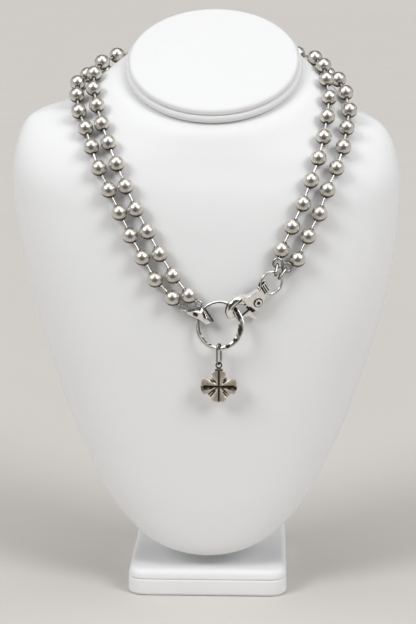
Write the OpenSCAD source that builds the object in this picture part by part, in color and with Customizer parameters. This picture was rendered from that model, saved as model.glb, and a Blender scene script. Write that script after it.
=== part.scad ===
// Two-strand ball chain necklace on its neck bust.
// Millimetres. The origin is the centre of the foot's underside, the chest faces -Y, +Z is up.
// "Left" and "right" are as seen from the front.

/* [Bust] */
// Width of the bust form across the shoulders
bust_width = 199; // [194:1:204]
// Number of facets round the bust form
bust_sides = 56; // [40:4:72]
// Number of rings from the tip to the neck
bust_rings = 36; // [30:2:44]
// Side of the stem that carries the form, across
stem_width = 38; // [30:1:44]
// Side of the stem, front to back
stem_depth = 20; // [16:1:24]

/* [Neck cap] */
// Width of the oval cap
cap_width = 88; // [84:1:90]
// Length of the cap along its slope
cap_length = 78.4; // [76:0.2:80]
// Thickness of the cap
cap_thick = 3.2; // [2.6:0.1:3.6]
// Thickness of the rolled rim under the cap
rim_thick = 4.2; // [3.6:0.1:4.2]
// How far the rim stands out past the cap
rim_proud = 1.9; // [1:0.1:2.2]
// Slope of the cut neck, in degrees
neck_slope = 40; // [39.5:0.5:40.5]

/* [Foot] */
// Width of the foot
foot_width = 82; // [78:1:90]
// Depth of the foot, front to back
foot_depth = 96; // [92:1:104]
// Height of the foot
foot_height = 14; // [13:1:14]
// Radius of the foot's upright corners
foot_corner = 9; // [6:1:12]
// Height of the seam round the foot
foot_seam = 8.7; // [7:0.1:10]

/* [Balls] */
// Diameter of a ball
ball_d = 8; // [7.6:0.1:8]
// Wall of a hollow ball
ball_wall = 0.35; // [0.3:0.05:0.5]
// Gap between a ball and the bust
ball_gap = 0.35; // [0.3:0.05:0.6]
// Diameter of the bars between the balls
bar_d = 1.2; // [1:0.1:1.3]
// Diameter of the hole that a bar passes
bar_hole_d = 1.5; // [1.4:0.1:1.6]
// Diameter of the round head on each end of a bar
bar_head_d = 2; // [1.8:0.1:2.2]
// Number of balls in the inner strand
inner_count = 33; // [33:1:33]
// Number of balls in the outer strand
outer_count = 34; // [34:1:34]

/* [Large ring] */
// Outer diameter of the large ring
ring_d = 25; // [24.6:0.1:25]
// Diameter of its opening
ring_hole_d = 20.6; // [20.4:0.1:21]
// How far the opening is off centre
ring_offset = 0.6; // [0.4:0.1:0.6]
// Thickness of the large ring
ring_thick = 1.5; // [1.4:0.1:1.7]

/* [Clasp] */
// Thickness of the clasp's body
clasp_thick = 5.4; // [5:0.1:5.6]
// Radius of the hook's bend, to the middle of the arm
hook_r = 4.8; // [4.7:0.1:4.9]
// Thickness of the hook's round arm
hook_arm_d = 4.1; // [3.9:0.1:4.2]
// Thickness of the lever
lever_thick = 1.5; // [1.4:0.1:1.8]
// Diameter of the rivet's pin
rivet_d = 2; // [1.8:0.1:2]
// Diameter of the rivet's head
rivet_head_d = 3.8; // [3.4:0.1:4]

/* [Wire rings] */
// Diameter of the jump ring, to the middle of its wire
jump_d = 11.3; // [11.2:0.1:11.4]
// Thickness of the jump ring's wire
jump_wire = 1.1; // [1:0.1:1.1]
// Thickness of the small links' wire
link_wire = 0.7; // [0.6:0.05:0.75]
// Thickness of the strand eyes' wire
eye_wire = 0.8; // [0.7:0.05:0.8]

/* [Charm] */
// Inner radius of the bail's round ends
bail_inner_r = 1.75; // [1.7:0.05:1.8]
// Thickness of the bail's wire
bail_wire = 0.8; // [0.7:0.05:0.9]
// Distance between the centres of the bail's round ends
bail_reach = 5.8; // [5.6:0.1:6]
// Thickness of the cross charm
charm_thick = 2; // [1.6:0.1:2.2]
// Half width of the charm's side arms
charm_half_width = 9; // [8.4:0.1:9.4]
// Half height of the charm's upright arms
charm_half_height = 8.1; // [7.8:0.1:8.4]

/* [Hidden] */
$fn = 48;
SILVER = "silver";
ANTIQUE = "darkgray";
COVER = "whitesmoke";

// Cross sections of the bust form, from its tip to the cut neck. A section is a level superellipse whose
// front and back points stand lower or higher than its sides.
HALF_W = 0;
SIDE_Z = 1;
SIDE_Y = 2;
FRONT_Z = 3;
FRONT_Y = 4;
BACK_Z = 5;
BACK_Y = 6;
SQUARE = 7;
CENTRE_X = 8;
LEFT_RISE = 9;
SECTIONS = [
    [4, 20.5, -41, 20.4, -43, 20.8, -38, 2, 0, 0],
    [15, 22.5, -40, 21.4, -45, 24, -30, 2, 0, 0],
    [26, 27, -37.5, 23.8, -47, 29.5, -18, 2.1, 0, 0],
    [36.5, 34.5, -34, 28.5, -48.5, 37, -4, 2.2, 0, 0],
    [48, 47.5, -29.5, 38, -50, 49, 6, 2.3, 0, 0],
    [58.5, 64.5, -25, 54, -51.5, 66, 12, 2.4, 0, 0],
    [70, 88.5, -20, 79, -52.5, 90, 17, 2.4, 0, 0],
    [80.5, 116, -15, 108, -53, 118, 21, 2.4, 0, 0],
    [89.5, 145, -12, 137, -52.5, 148, 24, 2.4, 0, 0],
    [96, 174, -9, 165, -50.5, 178, 27, 2.4, -0.5, 0],
    [99.5, 202, -7, 189, -47, 206, 29, 2.4, -1.5, 1],
    [99, 224, -5, 206, -43, 229, 31, 2.5, -2, 2],
    [92, 240, -3, 219, -38, 246, 33, 2.4, -2, 2.5],
    [76, 247, -1, 229, -34, 260, 34.5, 2.1, -1, 1],
    [58, 260, 2, 236.5, -30.5, 279, 35.5, 2, 0.5, 0],
    [45, 267, 5.5, 241, -25.5, 293, 36.5, 2, 1.8, 0],
];
WIDEST = 99.5;
LAST = len(SECTIONS) - 1;
width_scale = bust_width / 2 / WIDEST;

// Routes of the strands over the bust: angle round the section, 0 in front and 90 on the left, and
// the section's number, from the lowest ball on the left round the nape to the lowest on the right.
INNER_ROUTE = [
    [3, 8.75], [6.5, 9.1], [9.5, 9.5], [12.5, 10], [15, 10.55], [18, 11.2], [23.5, 11.95],
    [34.5, 12.7], [50, 13.4], [65, 13.75], [80, 13.9], [95, 13.95], [120, 13.95],
    [150, 13.9], [180, 13.85], [210, 13.9], [240, 14], [262, 14.1],
    [275, 14], [287.5, 13.75], [300, 13.45], [313.5, 12.85], [325, 12.15], [332, 11.4],
    [335.5, 10.75], [338.5, 10.1], [341.5, 9.6],
];
OUTER_ROUTE = [
    [7, 8.7], [11.5, 9.05], [14.5, 9.45], [17.5, 9.9], [20, 10.45], [23, 11.05], [28.5, 11.7],
    [38, 12.4], [53.5, 13.05], [68.5, 13.35], [83, 13.5], [99, 13.5], [120, 13.45],
    [150, 13.35], [180, 13.3], [210, 13.35], [240, 13.5], [260, 13.6],
    [274, 13.4], [286.5, 13.15], [300, 12.8], [312.5, 12.25], [321.5, 11.65], [327, 11.05],
    [330, 10.4], [333, 9.9], [336.5, 9.4],
];
ROUTE_STEPS = 8;
// Balls of each strand's end that are separate pieces; the rest, round the neck, are one run
CHEST_BALLS = 9;
HEAD_FROM_CENTRE = 2.4;

// Places of the hardware on the chest
RING_AT = [6.7, -57.9, 144];
RING_AXIS = 44;
RING_TILT = 18;
RING_THIN_SIDE = 160;
RIVET_AT = [24.7, -55.6, 156.4];
CLASP_SPIN = 215.5;
CLASP_ROLL = 28;
CLASP_PITCH = -10;
JUMP_AT = [32.3, -54.8, 165.2];
JUMP_ROLL = 20;
JUMP_PITCH = -15;
LEFT_INNER_EYE_AT = [-3.8, -55.2, 154.2];
LEFT_OUTER_EYE_AT = [-11.7, -55.2, 152.2];
RIGHT_INNER_EYE_AT = [35.2, -52.9, 174.8];
RIGHT_OUTER_EYE_AT = [39.7, -51.9, 172.4];
LEFT_EYE_R = 1.5;
RIGHT_EYE_R = 2.2;

// Outline of the leaf, across and up from the large ring's centre, and its depth
LEAF_OUTLINE = [
    [-16.2, 6.6], [-12.2, 7.5], [-10.2, 7.5], [-8.8, 9], [-3.8, 1.2],
    [-6.8, 0.2], [-9.8, 2.5], [-12.3, 3.8], [-16.2, 5.5],
];
LEAF_BACK_Y = -52.6;
LEAF_FRONT_Y = -57;
LEAF_LOOP_R = 1.2;
LEAF_LOOP_WIRE = 0.7;
INNER_LOOP_AT = [-4.6, -55, 152.7];
OUTER_LOOP_AT = [-10.2, -55, 151.3];
INNER_LOOP_SPIN = -118;
OUTER_LOOP_SPIN = -31;
CHANNEL_GAP = 0.35;
CHANNEL_SIDE = 0.7;

// Outline of the clasp's flat body from its rivet: along, towards the hook, and across, towards the lever
CLASP_OUTLINE = [
    [-5.8, -3.7], [-5, -5.3], [-2.1, -5.7], [1, -5.9], [3.4, -7.2], [6, -7.6],
    [5.1, -2.7], [4, 3.2], [0.6, 3.2], [-2.7, 1.9], [-4.8, -0.2],
];
HOOK_AT = [9.7, -2.2];
HOOK_FROM = -160;
HOOK_TO = 5;
HOOK_TIP = [13.5, 2.5];
HOOK_TIP_R = 0.75;
JOINT_SWELL = 0.05;
LEVER_OUTLINE = [
    [0, -2], [3.6, 1.7], [11.2, 2.4], [12.6, 2.5], [12.4, 3.5], [9.4, 3.7], [7.4, 4.6],
    [6, 8.4], [5.2, 8.6], [4.6, 7.8], [5, 4.4], [2, 3.6], [-1, 1.8],
];
LEVER_REACH = 12.6;
LEVER_HUB_R = 2.1;
RIVET_DIMPLE_D = 1.3;
SLOT_GAP = 0.2;
TAIL_V = -4;
TAIL_WIDTH = 5;
TAIL_END = -9.3;
TAIL_HALF = 2.3;
TAIL_HOLE_END = -8.2;
TAIL_HOLE_NEAR = -4.9;
TAIL_HOLE_HALF = 1.4;

// The bail hangs on the lowest part of the large ring's band
BAIL_ANGLE = -90;
BAIL_TURN = 25;
CHARM_LOOP_R = 1.35;
CHARM_LOOP_WIRE = 0.66;
CHARM_DROP = 0.5;
CHARM_CENTRE_DROP = 10.6;
CHARM_DISC_R = 5.2;
CHARM_FLARE = 32;
CHARM_GROOVE = 0.5;
CHARM_BASE_WIDTH = 3.9;

LINK_R = 1.2;
INNER_LINK_DIRECTION = 70;
OUTER_LINK_DIRECTION = 35;

function ball_name(strand, k) = str(strand, "_ball_", k < 10 ? "0" : "", k);

// Smooth curve through b and c, with a and d as their neighbours
function between(a, b, c, d, f) =
    0.5 * (2 * b + (c - a) * f + (2 * a - 5 * b + 4 * c - d) * f ^ 2 + (3 * b - a - 3 * c + d) * f ^ 3);

function row_before(rows, i) = i > 0 ? rows[i - 1] : 2 * rows[0] - rows[1];
function row_after(rows, i) = i < len(rows) ? rows[i] : 2 * rows[i - 1] - rows[i - 2];

// The row of a table at a level between two of its rows
function row_at(rows, level) =
    let (i = min(floor(level), len(rows) - 2), f = level - i)
    between(row_before(rows, i), rows[i], rows[i + 1], row_after(rows, i + 2), f);

function signed_power(v, e) = sign(v) * abs(v) ^ e;

// A point of the bust's surface
function bust_point(angle, level) =
    let (
        s = row_at(SECTIONS, min(max(level, 0), LAST)),
        e = 2 / s[SQUARE],
        across = signed_power(sin(angle), e),
        along = abs(cos(angle)) ^ e,
        in_front = cos(angle) > 0,
        end_y = in_front ? s[FRONT_Y] : s[BACK_Y],
        end_z = in_front ? s[FRONT_Z] : s[BACK_Z]
    )
    [
        s[CENTRE_X] - s[HALF_W] * width_scale * across,
        s[SIDE_Y] + (end_y - s[SIDE_Y]) * along,
        s[SIDE_Z] + (end_z - s[SIDE_Z]) * along + s[LEFT_RISE] * across
    ];

// A point above the surface, along its outward normal
function over_bust(angle, level, height) =
    let (
        da = 0.5,
        dl = 0.02,
        round_it = bust_point(angle + da, level) - bust_point(angle - da, level),
        up_it = bust_point(angle, level + dl) - bust_point(angle, level - dl),
        n = cross(up_it, round_it)
    )
    bust_point(angle, level) + n / norm(n) * height;

// The curve of a strand's ball centres
function strand_curve(route) =
    [
        for (i = [0:len(route) - 2], k = [0:ROUTE_STEPS - 1])
        let (p = row_at(route, i + k / ROUTE_STEPS))
        over_bust(p[0], p[1], ball_d / 2 + ball_gap),
        over_bust(route[len(route) - 1][0], route[len(route) - 1][1], ball_d / 2 + ball_gap)
    ];

// Distance along the curve to each of its points
function run_lengths(curve, i = 0, total = 0) =
    i == len(curve) - 1
        ? [total]
        : concat([total], run_lengths(curve, i + 1, total + norm(curve[i + 1] - curve[i])));

function point_at(curve, lengths, far) =
    let (
        before = [for (i = [0:len(lengths) - 2]) if (lengths[i] <= far) i],
        i = before[len(before) - 1],
        f = (far - lengths[i]) / (lengths[i + 1] - lengths[i])
    )
    curve[i] + (curve[i + 1] - curve[i]) * f;

// Ball centres at an even pitch from one end of the strand to the other
function strand_balls(route, count) =
    let (curve = strand_curve(route), lengths = run_lengths(curve), whole = lengths[len(lengths) - 1])
    [for (k = [0:count - 1]) point_at(curve, lengths, min(k / (count - 1), 0.999999) * whole)];

// Where an upright eye meets the bar to a ball, and where it meets what hangs on its other side
function eye_top(at, ball, mid_r) =
    let (flat = [ball.x - at.x, 0, ball.z - at.z])
    at + flat / norm(flat) * mid_r;

// A direction in the front view's own axes (right, up, towards the viewer) as a direction in space
function from_front(p) = [p.x, -p.z, p.y];

function turned(p, angle, axis) =
    p * cos(angle) + cross(axis, p) * sin(angle) + axis * (axis * p) * (1 - cos(angle));

// A point of a piece that face_on places
function faced_point(at, spin, roll, pitch, p) =
    at + from_front(turned(turned(turned(p, -roll, [1, 0, 0]), pitch, [0, 1, 0]), spin, [0, 0, 1]));

// The point of the jump ring's wire that lies in a given direction as seen from the front
function jump_point(direction) =
    let (a = direction - CLASP_SPIN)
    faced_point(JUMP_AT, CLASP_SPIN, JUMP_ROLL, JUMP_PITCH, jump_d / 2 * [cos(a), sin(a), 0]);

// The middle of the large ring's band where the bail hangs, and the bail's own lowest point
band_r = (ring_d / 2 + ring_hole_d / 2 + ring_offset * cos(RING_THIN_SIDE - BAIL_ANGLE)) / 2;
bail_mid_r = bail_inner_r + bail_wire / 2;
BAIL_PIVOT = RING_AT + from_front(turned(
    band_r * [cos(BAIL_ANGLE), sin(BAIL_ANGLE), 0], -RING_TILT, [cos(RING_AXIS), sin(RING_AXIS), 0]
));
CHARM_PIVOT = BAIL_PIVOT - [0, 0, bail_reach + bail_mid_r];

inner_balls = strand_balls(INNER_ROUTE, inner_count);
outer_balls = strand_balls(OUTER_ROUTE, outer_count);
// Each strand with the tops of its two eyes, so that every ball has a neighbour on both sides
inner_line = concat(
    [eye_top(LEFT_INNER_EYE_AT, inner_balls[0], LEFT_EYE_R)],
    inner_balls,
    [eye_top(RIGHT_INNER_EYE_AT, inner_balls[inner_count - 1], RIGHT_EYE_R)]
);
outer_line = concat(
    [eye_top(LEFT_OUTER_EYE_AT, outer_balls[0], LEFT_EYE_R)],
    outer_balls,
    [eye_top(RIGHT_OUTER_EYE_AT, outer_balls[outer_count - 1], RIGHT_EYE_R)]
);

// Turns children so that their Z runs along v
module along(v) {
    rotate([0, acos(v.z / norm(v)), atan2(v.y, v.x)]) children();
}

// Stands children upright as seen from the front: X right, Y up and Z towards the viewer, then turns them
// in that view by spin, tips their upper side back by roll and their right side back by pitch
module face_on(at, spin = 0, roll = 0, pitch = 0) {
    translate(at) rotate([90, 0, 0]) rotate([0, 0, spin]) rotate([-roll, pitch, 0]) children();
}

module wire_ring(mid_r, wire_d) {
    rotate_extrude() translate([mid_r, 0]) circle(d = wire_d, $fn = 24);
}

// Part of a wire ring
module wire_bend(mid_r, wire_d, angle) {
    rotate_extrude(angle = angle) translate([mid_r, 0]) circle(d = wire_d, $fn = 24);
}

// An oval wire link in the XY plane, long along Y
module wire_link(mid_r, reach, wire_d) {
    translate([0, reach / 2, 0]) wire_bend(mid_r, wire_d, 180);
    translate([0, -reach / 2, 0]) rotate([0, 0, 180]) wire_bend(mid_r, wire_d, 180);
    for (side = [-1, 1])
        translate([side * mid_r, 0, 0])
            rotate([90, 0, 0]) cylinder(h = reach + 0.06, d = wire_d + 0.02, center = true, $fn = 24);
}

module bust_form() {
    points = [
        for (i = [0:bust_rings], k = [0:bust_sides - 1])
        bust_point(k * 360 / bust_sides, i * LAST / bust_rings)
    ];
    tip = len(points);
    top = tip + 1;
    tip_middle = bust_point(0, 0) / 2 + bust_point(180, 0) / 2;
    top_middle = bust_point(0, LAST) / 2 + bust_point(180, LAST) / 2;
    wall = [
        for (i = [0:bust_rings - 1], k = [0:bust_sides - 1])
        let (
            a = i * bust_sides + k,
            b = i * bust_sides + (k + 1) % bust_sides
        )
        each [[a, b, b + bust_sides], [a, b + bust_sides, a + bust_sides]]
    ];
    ends = [
        for (k = [0:bust_sides - 1])
        let (
            next = (k + 1) % bust_sides,
            last_ring = bust_rings * bust_sides
        )
        each [[next, k, tip], [last_ring + k, last_ring + next, top]]
    ];
    color(COVER) {
        polyhedron(concat(points, [tip_middle, top_middle]), concat(wall, ends), convexity = 6);
        translate([0, 5, foot_height + 40]) cube([stem_width, stem_depth, 80], center = true);
    }
}

// A flat oval with a rounded edge, lying in the XY plane
module padded_oval(width, length, thick) {
    edge = thick / 2;
    scale([1, length / width, 1])
        rotate_extrude($fn = 72)
            intersection() {
                union() {
                    square([width / 2 - edge, thick]);
                    translate([width / 2 - edge, edge]) circle(r = edge, $fn = 16);
                }
                square([width, thick]);
            }
}

module neck_cap() {
    seat = bust_point(0, LAST) / 2 + bust_point(180, LAST) / 2;
    seat_gap = 0.2;
    color(COVER)
        translate(seat)
            rotate([neck_slope, 0, 0])
                translate([0, 0, seat_gap]) {
                    padded_oval(cap_width + 2 * rim_proud, cap_length + 2 * rim_proud, rim_thick);
                    translate([0, 0, rim_thick - 0.4]) padded_oval(cap_width, cap_length, cap_thick + 0.4);
                }
}

// A slab with round upright corners, drawn in by inset
module foot_slab(low, high, inset) {
    w = foot_width / 2 - foot_corner;
    d = foot_depth / 2 - foot_corner;
    r = foot_corner - inset;
    translate([0, 0, low])
        linear_extrude(high - low) {
            square([2 * w + 2 * r, 2 * d], center = true);
            square([2 * w, 2 * d + 2 * r], center = true);
            for (x = [-w, w], y = [-d, d])
                translate([x, y]) circle(r);
        }
}

module foot_block() {
    seam_half = 0.3;
    color(COVER) {
        foot_slab(0, foot_seam - seam_half, 0);
        foot_slab(foot_seam - seam_half, foot_seam + seam_half, 0.5);
        foot_slab(foot_seam + seam_half, foot_height, 0);
    }
}

// One hollow ball of a strand, with its two bar holes
module chain_ball(line, i) {
    color(SILVER)
        translate(line[i])
            difference() {
                along(line[i + 1] - line[i - 1])
                    rotate([90, 0, 0])
                        difference() {
                            sphere(d = ball_d);
                            sphere(d = ball_d - 2 * ball_wall);
                        }
                along(line[i - 1] - line[i]) cylinder(h = ball_d, d = bar_hole_d, $fn = 24);
                along(line[i + 1] - line[i]) cylinder(h = ball_d, d = bar_hole_d, $fn = 24);
            }
}

// A bar between two balls, with its round heads inside them
module ball_bar(a, b) {
    reach = norm(b - a) - 2 * HEAD_FROM_CENTRE;
    translate(a)
        along(b - a)
            translate([0, 0, HEAD_FROM_CENTRE]) {
                cylinder(h = reach, d = bar_d, $fn = 24);
                sphere(d = bar_head_d);
                translate([0, 0, reach]) sphere(d = bar_head_d);
            }
}

// The bars of a strand's two chest ends
module chest_bars(balls) {
    count = len(balls);
    color(SILVER)
        for (i = [0:CHEST_BALLS - 2], first = [0, count - CHEST_BALLS])
            ball_bar(balls[first + i], balls[first + i + 1]);
}

// The balls round the neck, joined by bars; its end bars reach into the first ball of each chest end
module nape_run(balls) {
    first = CHEST_BALLS;
    last = len(balls) - CHEST_BALLS - 1;
    color(SILVER) {
        for (i = [first:last])
            translate(balls[i])
                along(balls[i + 1] - balls[i - 1])
                    rotate([90, 0, 0]) sphere(d = ball_d);
        for (i = [first:last - 1])
            let (v = balls[i + 1] - balls[i])
                translate(balls[i]) along(v) cylinder(h = norm(v), d = bar_d, $fn = 24);
        end_bar(balls[first], balls[first - 1]);
        end_bar(balls[last], balls[last + 1]);
    }
}

// A bar from a solid end into a hollow ball
module end_bar(from, ball) {
    reach = norm(ball - from) - HEAD_FROM_CENTRE;
    translate(from)
        along(ball - from) {
            cylinder(h = reach, d = bar_d, $fn = 24);
            translate([0, 0, reach]) sphere(d = bar_head_d);
        }
}

// The wire eye on a strand's end, with its bar into the last ball
module strand_eye(at, ball, mid_r) {
    color(SILVER) {
        face_on(at) wire_ring(mid_r, eye_wire);
        end_bar(eye_top(at, ball, mid_r), ball);
    }
}

// Front-view axes in the large ring's tilted plane
module in_ring_plane() {
    face_on(RING_AT) rotate(-RING_TILT, [cos(RING_AXIS), sin(RING_AXIS), 0]) children();
}

module large_ring() {
    color(SILVER)
        in_ring_plane()
            difference() {
                cylinder(h = ring_thick, d = ring_d, center = true, $fn = 96);
                rotate([0, 0, RING_THIN_SIDE])
                    translate([ring_offset, 0, 0])
                        cylinder(h = 2 * ring_thick, d = ring_hole_d, center = true, $fn = 96);
            }
}

// The room that the large ring's band needs inside the leaf
module ring_channel() {
    height = ring_thick + 2 * CHANNEL_GAP;
    inside = ring_hole_d - 2 * ring_offset - CHANNEL_SIDE;
    in_ring_plane()
        difference() {
            cylinder(h = height, d = ring_d + 2 * CHANNEL_SIDE, center = true, $fn = 96);
            cylinder(h = 2 * height, d = inside, center = true, $fn = 96);
        }
}

// A wire loop on the leaf, seen edge-on
module leaf_loop(at, spin) {
    face_on(at, spin) rotate([90, 0, 0]) wire_ring(LEAF_LOOP_R, LEAF_LOOP_WIRE);
}

module leaf_bail() {
    color(SILVER) {
        difference() {
            translate([RING_AT.x, LEAF_BACK_Y, RING_AT.z])
                rotate([90, 0, 0])
                    linear_extrude(LEAF_BACK_Y - LEAF_FRONT_Y) polygon(LEAF_OUTLINE);
            ring_channel();
        }
        leaf_loop(INNER_LOOP_AT, INNER_LOOP_SPIN);
        leaf_loop(OUTER_LOOP_AT, OUTER_LOOP_SPIN);
    }
}

// The clasp's own axes: X towards the hook, Y towards the lever, Z towards the viewer
module in_clasp() {
    face_on(RIVET_AT, CLASP_SPIN, CLASP_ROLL, CLASP_PITCH) children();
}

module tail_profile(end, near, half) {
    translate([end + half, 0]) circle(half);
    translate([end + half, -half]) square([near - end - half, 2 * half]);
}

// Extrudes a profile of length and thickness across the tail
module across_tail(width) {
    translate([0, TAIL_V, 0]) rotate([90, 0, 0]) linear_extrude(width, center = true) children();
}

module hook_arm() {
    r = hook_arm_d / 2;
    root = HOOK_AT + hook_r * [cos(HOOK_TO), sin(HOOK_TO)];
    tip = HOOK_TIP - root;
    translate([HOOK_AT.x, HOOK_AT.y, 0])
        rotate([0, 0, HOOK_FROM])
            wire_bend(hook_r, hook_arm_d, HOOK_TO - HOOK_FROM);
    translate([root.x, root.y, 0])
        along([tip.x, tip.y, 0]) {
            sphere(r + JOINT_SWELL);
            cylinder(h = norm(tip), r1 = r, r2 = HOOK_TIP_R);
        }
}

module clasp_body() {
    slot = lever_thick + 2 * SLOT_GAP;
    color(SILVER)
        in_clasp()
            difference() {
                union() {
                    linear_extrude(clasp_thick, center = true) polygon(CLASP_OUTLINE);
                    hook_arm();
                    across_tail(TAIL_WIDTH) tail_profile(TAIL_END, -4, TAIL_HALF);
                }
                across_tail(2 * TAIL_WIDTH) tail_profile(TAIL_HOLE_END, TAIL_HOLE_NEAR, TAIL_HOLE_HALF);
                lever_room(slot);
                cylinder(h = 2 * clasp_thick, d = rivet_d + 0.1, center = true);
            }
}

// The slot that the lever turns in, from the rivet to the inside of the hook's tip
module lever_room(slot) {
    linear_extrude(slot, center = true) {
        circle(LEVER_HUB_R + 0.3);
        polygon([[-3.4, 0.4], [0, -2.4], [6, -2.4], [6, 6], [-3.4, 6]]);
        intersection() {
            circle(LEVER_REACH + 0.2, $fn = 96);
            polygon([[9, -1.6], [16, -1.6], [16, 6], [9, 6]]);
        }
    }
}

module clasp_rivet() {
    head_thick = 0.5;
    seat = clasp_thick / 2 + 0.05;
    color(SILVER)
        in_clasp()
            difference() {
                union() {
                    cylinder(h = 2 * seat, d = rivet_d, center = true);
                    for (side = [-1, 1])
                        translate([0, 0, side * (seat + head_thick / 2)])
                            cylinder(h = head_thick, d = rivet_head_d, center = true);
                }
                for (side = [-1, 1])
                    translate([0, 0, side * (seat + head_thick)])
                        cylinder(h = 0.6, d = RIVET_DIMPLE_D, center = true, $fn = 24);
            }
}

module clasp_lever() {
    color(SILVER)
        in_clasp()
            difference() {
                linear_extrude(lever_thick, center = true)
                    intersection() {
                        union() {
                            circle(LEVER_HUB_R);
                            polygon(LEVER_OUTLINE);
                        }
                        circle(LEVER_REACH, $fn = 96);
                    }
                cylinder(h = 2 * lever_thick, d = rivet_d + 0.2, center = true);
            }
}

module jump_ring() {
    color(SILVER)
        face_on(JUMP_AT, CLASP_SPIN, JUMP_ROLL, JUMP_PITCH) wire_ring(jump_d / 2, jump_wire);
}

// A small oval link seen edge-on, from the jump ring's wire to a strand's eye
module strand_link(direction, eye_at) {
    a = jump_point(direction);
    b = eye_top(eye_at, a, RIGHT_EYE_R);
    v = b - a;
    heading = atan2(v.y, v.x);
    lean = acos(v.z / norm(v));
    depth_turn = atan2(cos(heading), cos(lean) * sin(heading));
    color(SILVER)
        translate((a + b) / 2)
            along(v)
                rotate([90, 0, depth_turn]) wire_link(LINK_R, norm(v), link_wire);
}

module right_inner_link() {
    strand_link(INNER_LINK_DIRECTION, RIGHT_INNER_EYE_AT);
}

module right_outer_link() {
    strand_link(OUTER_LINK_DIRECTION, RIGHT_OUTER_EYE_AT);
}

// The wire loop on the large ring: an upright oval, turned a little from edge-on
module bail() {
    color(SILVER)
        translate(BAIL_PIVOT - [0, 0, bail_reach / 2])
            rotate([90, 0, 90 - BAIL_TURN]) wire_link(bail_mid_r, bail_reach, bail_wire);
}

// An arm of the cross, its round end at half
module cross_arm(direction, half) {
    w = half * tan(CHARM_FLARE);
    rotate(direction)
        intersection() {
            circle(half, $fn = 64);
            polygon([[0, 0], [half, -w], [half, w]]);
        }
}

module cross_outline() {
    circle(CHARM_DISC_R, $fn = 64);
    for (side = [0, 180]) {
        cross_arm(side, charm_half_width);
        cross_arm(side + 90, charm_half_height);
    }
}

module charm() {
    loop_at = CHARM_PIVOT - [0, 0, CHARM_DROP];
    centre = loop_at - [0, 0, CHARM_CENTRE_DROP];
    foot_of_loop = CHARM_CENTRE_DROP - charm_half_height;
    color(ANTIQUE) {
        face_on(loop_at) {
            wire_ring(CHARM_LOOP_R, CHARM_LOOP_WIRE);
            translate([0, -foot_of_loop / 2 - CHARM_LOOP_R / 2, 0])
                cube([1.2, foot_of_loop - CHARM_LOOP_R + 0.4, CHARM_LOOP_WIRE], center = true);
            translate([0, -foot_of_loop, 0])
                cube([CHARM_BASE_WIDTH, 0.8, charm_thick * 0.7], center = true);
        }
        face_on(centre)
            difference() {
                linear_extrude(charm_thick, center = true) cross_outline();
                for (side = [-1, 1])
                    translate([0, 0, side * charm_thick / 2]) {
                        cube([2 * charm_half_width - 2, 2 * CHARM_GROOVE, 0.8], center = true);
                        cube([CHARM_GROOVE, 2 * charm_half_height - 2, 0.8], center = true);
                    }
            }
    }
}

module chest_ball(strand, k) {
    line = strand == "inner" ? inner_line : outer_line;
    count = len(line) - 2;
    chain_ball(line, k <= CHEST_BALLS ? k : count - 2 * CHEST_BALLS + k);
}

bust_form();
neck_cap();
foot_block();
for (strand = ["inner", "outer"], k = [1:2 * CHEST_BALLS])
    chest_ball(strand, k);
nape_run(inner_balls);  // inner_nape_run
nape_run(outer_balls);  // outer_nape_run
chest_bars(inner_balls);  // inner_bars
chest_bars(outer_balls);  // outer_bars
strand_eye(LEFT_INNER_EYE_AT, inner_balls[0], LEFT_EYE_R);  // left_inner_eye
strand_eye(LEFT_OUTER_EYE_AT, outer_balls[0], LEFT_EYE_R);  // left_outer_eye
strand_eye(RIGHT_INNER_EYE_AT, inner_balls[inner_count - 1], RIGHT_EYE_R);  // right_inner_eye
strand_eye(RIGHT_OUTER_EYE_AT, outer_balls[outer_count - 1], RIGHT_EYE_R);  // right_outer_eye
leaf_bail();
large_ring();
jump_ring();
right_inner_link();
right_outer_link();
clasp_body();
clasp_rivet();
clasp_lever();
bail();
charm();
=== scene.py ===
# %% [markdown]
# # A two-strand ball chain necklace on its neck bust
#
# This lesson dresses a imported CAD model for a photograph. The CAD parts already stand in the right place, so
# every new piece is made in the same frame: metres, the origin in the middle of the foot's underside, the
# chest towards -Y and up along +Z. Sizes are written in millimetres, as a jeweller would, and turned into
# metres when a mesh is made.

# %% Load the CAD model
import math
import bmesh
import bpy
import numpy as np
from mathutils import Matrix, Vector


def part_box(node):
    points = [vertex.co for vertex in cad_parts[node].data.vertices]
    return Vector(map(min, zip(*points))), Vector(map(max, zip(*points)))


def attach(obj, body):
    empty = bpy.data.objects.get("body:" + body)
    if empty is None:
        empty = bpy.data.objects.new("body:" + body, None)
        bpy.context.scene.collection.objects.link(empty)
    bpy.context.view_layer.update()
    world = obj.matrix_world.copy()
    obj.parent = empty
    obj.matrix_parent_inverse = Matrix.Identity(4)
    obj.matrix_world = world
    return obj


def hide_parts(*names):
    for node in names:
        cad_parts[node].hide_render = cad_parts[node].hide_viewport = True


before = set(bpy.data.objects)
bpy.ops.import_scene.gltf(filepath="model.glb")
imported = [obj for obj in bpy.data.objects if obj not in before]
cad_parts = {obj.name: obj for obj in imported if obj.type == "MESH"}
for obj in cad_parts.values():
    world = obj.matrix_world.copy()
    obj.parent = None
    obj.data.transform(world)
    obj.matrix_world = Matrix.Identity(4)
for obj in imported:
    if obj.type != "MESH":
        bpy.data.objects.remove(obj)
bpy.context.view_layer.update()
MM = 0.001

# %% [markdown]
# ## The camera
#
# A small product is photographed from far away with a long lens, so that its near parts don't swell. The
# camera stands 900 mm from the necklace, a little to the right of the middle and 10.5 degrees above it.
# The lens is worked out from what one pixel of a 416 by 624 picture should cover.

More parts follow.
